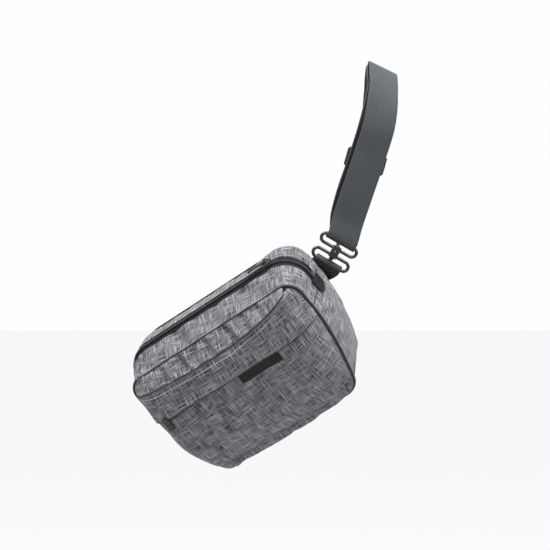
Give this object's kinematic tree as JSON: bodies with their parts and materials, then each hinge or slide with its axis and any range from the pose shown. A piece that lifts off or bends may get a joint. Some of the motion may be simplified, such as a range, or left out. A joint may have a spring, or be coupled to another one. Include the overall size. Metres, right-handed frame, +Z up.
{
  "type": "camera sling bag",
  "caption": "Small padded camera sling bag in heather fabric with a top zip, a front pocket, dividers and a hooked webbing shoulder strap.",
  "frame": {"origin": "top of the strap, on the outer face over the shoulder", "axes": "+Z up as worn, +Y away from the viewer of the bag's front towards the wearer's chest, +X to the viewer's right"},
  "size_m": [0.3158, 0.2318, 0.49],
  "materials": {
    "outer_fabric": "matt",
    "lining": "matt",
    "webbing": "satin",
    "zip_black": "satin",
    "label": "matt",
    "black_metal": "gloss",
    "pull_plastic": "satin",
    "mesh": "matt",
    "foam": "matt"
  },
  "bodies": {
    "bag": {"back_panel": "lining", "inner_front_wall": "lining", "back_mesh_pad": "mesh", "rear_top_panel": "outer_fabric", "right_end_panel": "outer_fabric", "right_lid_corner": "outer_fabric", "left_end_panel": "outer_fabric", "left_lid_corner": "outer_fabric", "base_panel": "outer_fabric", "pocket_top_strip": "outer_fabric", "pocket_upper_band": "outer_fabric", "pocket_lower_panel": "outer_fabric", "rear_foam": "foam", "front_foam": "foam", "floor_foam": "foam", "right_end_foam": "foam", "left_end_foam": "foam", "rear_zip_tape": "zip_black", "rear_zip_coil": "zip_black", "right_zip_end": "zip_black", "left_zip_end": "zip_black", "front_pocket_coil": "zip_black", "front_piping": "zip_black", "label_patch": "label", "right_tab": "webbing", "left_tab": "webbing", "strap_webbing": "webbing"},
    "lid": {"lid_panel": "outer_fabric", "front_zip_coil": "zip_black", "front_zip_tape": "zip_black"},
    "main_slider": {"main_slider": "black_metal"},
    "main_pull": {"main_pull": "pull_plastic"},
    "front_slider": {"front_slider": "black_metal"},
    "front_pull": {"front_pull": "pull_plastic"},
    "right_divider": {"right_divider": "foam"},
    "left_divider": {"left_divider": "foam"},
    "adjuster": {"adjuster_frame": "black_metal", "adjuster_bar": "black_metal", "strap_end_loop": "webbing"},
    "right_tab_ring": {"right_tab_ring": "black_metal"},
    "right_strap_ring": {"right_strap_ring": "black_metal"},
    "right_hook": {"right_hook": "black_metal", "right_gate_pin": "black_metal"},
    "right_gate": {"right_gate": "black_metal"},
    "left_tab_ring": {"left_tab_ring": "black_metal"},
    "left_strap_ring": {"left_strap_ring": "black_metal"},
    "left_hook": {"left_hook": "black_metal", "left_gate_pin": "black_metal"},
    "left_gate": {"left_gate": "black_metal"}
  },
  "joints": [
    {"name": "lid_hinge", "type": "hinge", "parent": "bag", "child": "lid", "pos_m": [-0.2072, -0.0847, -0.31646], "axis": [0.795, -0.3214, 0.5144], "range_deg": [0, 70]},
    {"name": "main_zip_slide", "type": "slide", "parent": "bag", "child": "main_slider", "axis": [0.795, -0.3214, 0.5144], "range_m": [-0.187, 0]},
    {"name": "main_pull_flip", "type": "hinge", "parent": "main_slider", "child": "main_pull", "pos_m": [-0.14095, -0.0869, -0.23177], "axis": [0.0554, 0.883, 0.4661], "range_deg": [0, 150]},
    {"name": "front_zip_slide", "type": "slide", "parent": "bag", "child": "front_slider", "axis": [0.795, -0.3214, 0.5144], "range_m": [0, 0.17]},
    {"name": "front_pull_swing", "type": "hinge", "parent": "front_slider", "child": "front_pull", "pos_m": [-0.25926, -0.06373, -0.41895], "axis": [-0.795, 0.3214, -0.5144], "range_deg": [0, 100]},
    {"name": "right_divider_slide", "type": "slide", "parent": "bag", "child": "right_divider", "axis": [0.795, -0.3214, 0.5144], "range_m": [-0.018, 0.018]},
    {"name": "left_divider_slide", "type": "slide", "parent": "bag", "child": "left_divider", "axis": [0.795, -0.3214, 0.5144], "range_m": [-0.018, 0.018]},
    {"name": "adjuster_slide", "type": "slide", "parent": "bag", "child": "adjuster", "axis": [-0.2793, 0.0718, -0.9575], "range_m": [-0.015, 0.006]},
    {"name": "right_tab_ring_swing", "type": "hinge", "parent": "bag", "child": "right_tab_ring", "pos_m": [-0.06675, -0.0605, -0.23456], "axis": [0.866, 0, -0.5], "range_deg": [-3, 3]},
    {"name": "right_strap_ring_swing", "type": "hinge", "parent": "bag", "child": "right_strap_ring", "pos_m": [-0.05155, -0.0605, -0.20824], "axis": [0.866, 0, -0.5], "range_deg": [-2, 2]},
    {"name": "right_hook_swing", "type": "hinge", "parent": "right_strap_ring", "child": "right_hook", "pos_m": [-0.05705, -0.0605, -0.21776], "axis": [0.866, 0, -0.5], "range_deg": [-3, 3]},
    {"name": "right_gate_press", "type": "hinge", "parent": "right_hook", "child": "right_gate", "pos_m": [-0.0585, -0.0542, -0.22027], "axis": [-0.866, 0, 0.5], "range_deg": [0, 10], "stiffness_Nm_per_rad": 0.02, "springref_deg": -20.05},
    {"name": "left_tab_ring_swing", "type": "hinge", "parent": "bag", "child": "left_tab_ring", "pos_m": [-0.26107, 0.03584, -0.35851], "axis": [0.5382, 0.3053, -0.7856], "range_deg": [-3, 3]},
    {"name": "left_strap_ring_swing", "type": "hinge", "parent": "bag", "child": "left_strap_ring", "pos_m": [-0.24018, 0.04741, -0.3397], "axis": [0.5382, 0.3053, -0.7856], "range_deg": [-2, 2]},
    {"name": "left_hook_swing", "type": "hinge", "parent": "left_strap_ring", "child": "left_hook", "pos_m": [-0.24774, 0.04322, -0.34651], "axis": [0.5382, 0.3053, -0.7856], "range_deg": [-3, 3]},
    {"name": "left_gate_press", "type": "hinge", "parent": "left_hook", "child": "left_gate", "pos_m": [-0.25281, 0.04762, -0.34827], "axis": [-0.5382, -0.3053, 0.7856], "range_deg": [0, 10], "stiffness_Nm_per_rad": 0.02, "springref_deg": -20.05}
  ]
}
